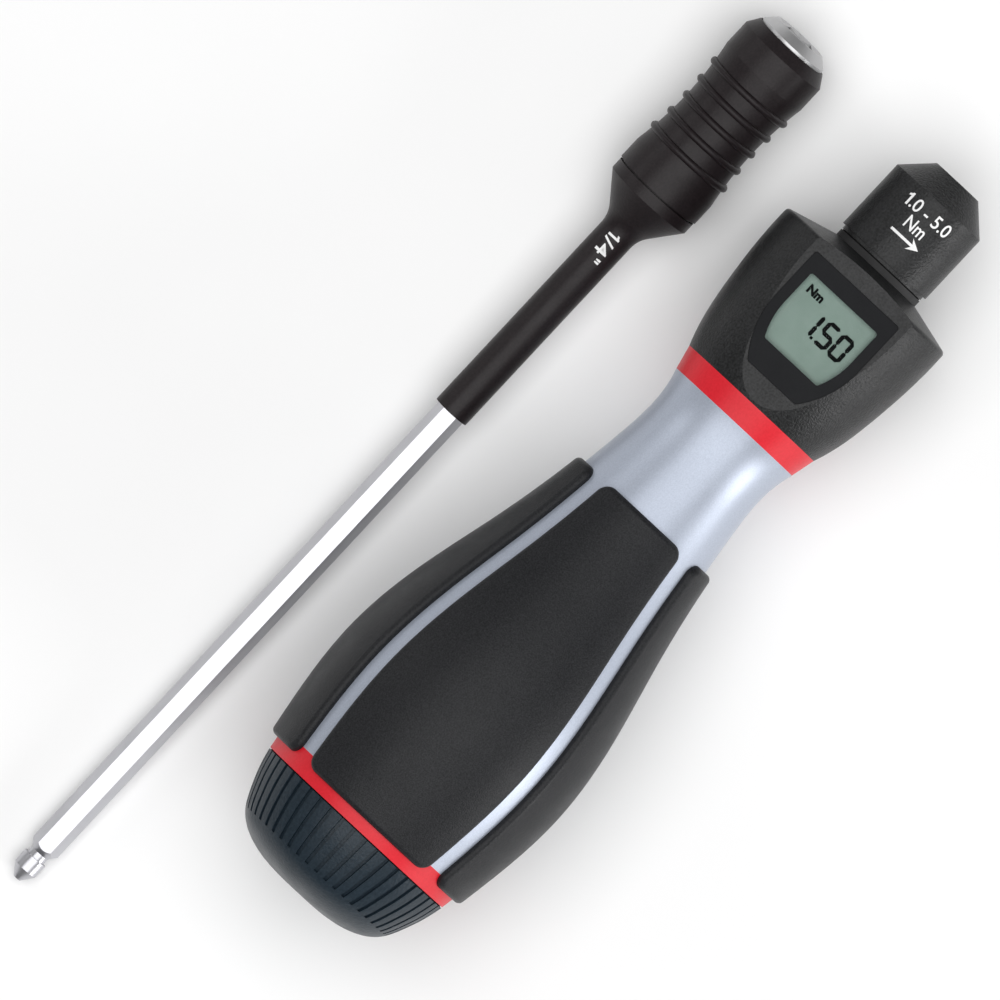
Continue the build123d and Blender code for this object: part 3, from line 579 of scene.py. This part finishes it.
def polygon_mesh(outlines):
    """Flat solid shapes from lists of (x, y) corners."""
    bm = bmesh.new()
    for outline in outlines:
        face = bm.faces.new([bm.verts.new((x, y, -MARK_THICKNESS / 2)) for x, y in outline])
        made = bmesh.ops.extrude_face_region(bm, geom=[face])
        top = [e for e in made["geom"] if isinstance(e, bmesh.types.BMVert)]
        bmesh.ops.translate(bm, verts=top, vec=(0, 0, MARK_THICKNESS))
    bmesh.ops.recalc_face_normals(bm, faces=bm.faces)
    mesh = bpy.data.meshes.new("shapes")
    bm.to_mesh(mesh)
    bm.free()
    return mesh


def figure_one(height):
    """Figure one with a flag, which the built-in letters lack."""
    return polygon_mesh([[(height * x, height * (y - 0.5)) for x, y in FIGURE_ONE]])


def joined(first, second, gap):
    """Second flat mark set to the right of the first, the whole centred on the origin."""
    bm = bmesh.new()
    bm.from_mesh(first)
    right = max(v.co.x for v in bm.verts)
    left = min(v.co.x for v in second.vertices)
    second.transform(Matrix.Translation((right + gap - left, 0, 0)))
    bm.from_mesh(second)
    xs = [v.co.x for v in bm.verts]
    bmesh.ops.translate(bm, verts=bm.verts, vec=(-(min(xs) + max(xs)) / 2, 0, 0))
    bm.to_mesh(first)
    bm.free()
    return first


def on_plane(mesh, tool, x, y, z):
    """Lays a flat mark on a level face, with its words running towards -Y."""
    for v in mesh.vertices:
        v.co = tool @ Vector((x + v.co.y, y - v.co.x, z + v.co.z))
    return mesh


def split_long_edges(mesh, longest):
    """Cuts a mark's long edges so that it can follow a curved face."""
    bm = bmesh.new()
    bm.from_mesh(mesh)
    bmesh.ops.triangulate(bm, faces=bm.faces)
    for _ in range(4):
        edges = [e for e in bm.edges if e.calc_length() > longest]
        bmesh.ops.subdivide_edges(bm, edges=edges, cuts=1)
        bmesh.ops.triangulate(bm, faces=bm.faces)
    bm.to_mesh(mesh)
    bm.free()


def on_round(mesh, tool, x, y, radius):
    """Wraps a flat mark round a tool's upper side, centred over y."""
    split_long_edges(mesh, radius / 12)
    middle = math.asin(y / radius)
    for v in mesh.vertices:
        angle = middle - v.co.x / radius
        reach = radius + v.co.z
        v.co = tool @ Vector((x + v.co.y, reach * math.sin(angle), reach * math.cos(angle)))
    return mesh


# Marks of the display, the nose and the blade


def bar(start, end):
    """Six-cornered display segment between two points."""
    (x0, y0), (x1, y1) = start, end
    length = math.hypot(x1 - x0, y1 - y0)
    dx = (x1 - x0) / length * STROKE_HALF
    dy = (y1 - y0) / length * STROKE_HALF
    return [
        (x0, y0),
        (x0 + dx - dy, y0 + dy + dx),
        (x1 - dx - dy, y1 - dy + dx),
        (x1, y1),
        (x1 - dx + dy, y1 - dy - dx),
        (x0 + dx + dy, y0 + dy - dx),
    ]


def digit(shape, left):
    """Outlines of one digit's lit segments, whose ends lap over each other at the corners."""
    low, mid, high = 0, DIGIT_HEIGHT / 2, DIGIT_HEIGHT
    right, lap = DIGIT_WIDTH, STROKE_LAP
    ends = {
        "a": ((-lap, high), (right + lap, high)),
        "b": ((right, high + lap), (right, mid - lap)),
        "c": ((right, mid + lap), (right, low - lap)),
        "d": ((-lap, low), (right + lap, low)),
        "e": ((0, mid + lap), (0, low - lap)),
        "f": ((0, high + lap), (0, mid - lap)),
        "g": ((-lap, mid), (right + lap, mid)),
    }
    outlines = []
    for name in SEGMENTS[shape]:
        outlines.append([(left + x, y) for x, y in bar(*ends[name])])
    return outlines


def display_marks(ink):
    """Set torque on the display: unit at the upper left, number at the lower right."""
    lcd_top = FACET_HEIGHT - FRAME_THICKNESS - DISPLAY_SLACK + MARK_THICKNESS / 2
    outlines = []
    for shape, left in DIGITS:
        outlines += digit(shape, left)
    corners = ((-1, -1), (1, -1), (1, 1), (-1, 1))
    outlines.append([(POINT_PLACE + POINT_HALF * x, POINT_HALF * y) for x, y in corners])
    number = polygon_mesh(outlines)
    piece("lcd_number", on_plane(number, handle_frame, NUMBER_ALONG, NUMBER_ACROSS, lcd_top), "handle", ink)
    unit = text_mesh("Nm", LCD_UNIT_HEIGHT, LCD_UNIT_WIDTH, LCD_UNIT_WEIGHT)
    piece("lcd_unit", on_plane(unit, handle_frame, LCD_UNIT_ALONG, LCD_UNIT_ACROSS, lcd_top), "handle", ink)


def arrow_outline():
    """Arrow that points along +x, with swept barbs."""
    tip = ARROW_LENGTH / 2
    barb = tip - ARROW_HEAD_LENGTH
    neck = tip - ARROW_HEAD_LENGTH * ARROW_SWEEP
    return [
        (-tip, -ARROW_SHAFT_HALF),
        (neck, -ARROW_SHAFT_HALF),
        (barb, -ARROW_HEAD_HALF),
        (tip, 0),
        (barb, ARROW_HEAD_HALF),
        (neck, ARROW_SHAFT_HALF),
        (-tip, ARROW_SHAFT_HALF),
    ]


def nose_marks(ink):
    """Torque range and working direction on the nose."""
    rest = text_mesh(".0 - 5.0", NOSE_LETTERS, RANGE_WIDTH, RANGE_WEIGHT)
    span = joined(figure_one(NOSE_LETTERS), rest, RANGE_GAP)
    piece("nose_range", on_round(span, handle_frame, RANGE_ALONG, RANGE_ACROSS, NOSE_RADIUS), "spindle", ink)
    unit = text_mesh("Nm", NOSE_LETTERS, NOSE_UNIT_WIDTH, NOSE_UNIT_WEIGHT)
    piece("nose_unit", on_round(unit, handle_frame, NOSE_UNIT_ALONG, 0.0, NOSE_RADIUS), "spindle", ink)
    arrow = polygon_mesh([arrow_outline()])
    piece("nose_arrow", on_round(arrow, handle_frame, ARROW_ALONG, 0.0, NOSE_RADIUS), "spindle", ink)


def blade_mark(ink):
    """Bit size on the blade's sleeve, read across the blade."""
    slash = text_mesh("/4", SIZE_SLASH_HEIGHT, SIZE_SLASH_WIDTH, SIZE_SLASH_WEIGHT)
    mark = joined(figure_one(SIZE_LETTERS), slash, SIZE_SLASH_GAP)
    quote = text_mesh("\"", SIZE_QUOTE, SIZE_QUOTE, SIZE_QUOTE_WEIGHT)
    quote.transform(Matrix.Translation((0, SIZE_QUOTE_RISE, 0)))
    mark = joined(mark, quote, SIZE_QUOTE_GAP)
    mark.transform(Matrix.Rotation(-math.pi / 2, 4, "Z"))
    piece("blade_size", on_round(mark, blade_frame, SIZE_ALONG, 0.0, SLEEVE_RADIUS), "handle", ink)


# Stage


def make_camera():
    """Camera above the display's facet, as in the photo."""
    turn = math.radians(VIEW_TURN)
    target = handle_frame @ Vector((VIEW_ALONG, VIEW_ACROSS, 0))
    along, across, up = (handle_frame.to_3x3().col[i].normalized() for i in range(3))
    right = math.cos(turn) * along - math.sin(turn) * across
    top = math.sin(turn) * along + math.cos(turn) * across
    data = bpy.data.cameras.new("camera")
    data.sensor_width = SENSOR_WIDTH
    data.lens = SENSOR_WIDTH * VIEW_DISTANCE / VIEW_WIDTH
    data.clip_start = CLIP_START * MM
    camera = bpy.data.objects.new("camera", data)
    bpy.context.scene.collection.objects.link(camera)
    facing = Matrix((right, top, up)).transposed().to_4x4()
    camera.matrix_world = Matrix.Translation(target + up * VIEW_DISTANCE * MM) @ facing
    bpy.context.scene.camera = camera


def make_floor():
    """Plain pale floor with soft matt paper grain."""
    surface = Surface("floor", Roughness=0.9, Specular_IOR_Level=0.1)
    surface.tint(surface.noise(60, 2), (0.90, 0.90, 0.90), (0.92, 0.92, 0.92))
    bm = bmesh.new()
    bmesh.ops.create_grid(bm, x_segments=1, y_segments=1, size=FLOOR_HALF * MM)
    mesh = bpy.data.meshes.new("floor")
    bm.to_mesh(mesh)
    bm.free()
    mesh.materials.append(surface.material)
    floor = bpy.data.objects.new("floor", mesh)
    bpy.context.scene.collection.objects.link(floor)


def softbox(name, place, target, size, power):
    """Square light that faces a point."""
    data = bpy.data.lights.new(name, "AREA")
    data.shape = "SQUARE"
    data.size = size
    data.energy = power
    light = bpy.data.objects.new(name, data)
    bpy.context.scene.collection.objects.link(light)
    light.location = Vector(place)
    light.rotation_mode = "QUATERNION"
    light.rotation_quaternion = (Vector(target) - Vector(place)).to_track_quat("-Z", "Y")


def make_lights():
    """Broad overhead softbox, two low side softboxes and a dim even surround."""
    for box in SOFTBOXES:
        softbox(*box)
    world = bpy.data.worlds.new("surround")
    world.use_nodes = True
    background = world.node_tree.nodes["Background"]
    background.inputs["Color"].default_value = (1, 1, 1, 1)
    background.inputs["Strength"].default_value = SURROUND_STRENGTH
    bpy.context.scene.world = world


make_camera()
make_floor()
make_lights()
materials = make_materials()
dress_nodes(materials, {"bit_holder": holder_steel(), "spindle": black_steel()})
pressed_spring("main_spring", handle_frame, CLUTCH_ROOM, materials["spring_steel"])
pressed_spring("release_spring", blade_frame, 0.0, materials["spring_steel"])
# Near-black rings in the running gaps behind the knob and the nose: painted shade in place of the gaps' dark
# inside
gap_shade_material = painted_gap_shade()
for name, along, inner, outer in GAP_SHADE_RINGS:
    gap_shade_ring(name, along, inner, outer, gap_shade_material)
white_ink = printed("white_ink", (0.86, 0.86, 0.86), 0.5, 0.3)
black_ink = printed("display_ink", (0.004, 0.005, 0.005), 0.7, 0.02)
display_marks(black_ink)
nose_marks(white_ink)
blade_mark(white_ink)
bpy.context.scene.view_settings.view_transform = "Standard"
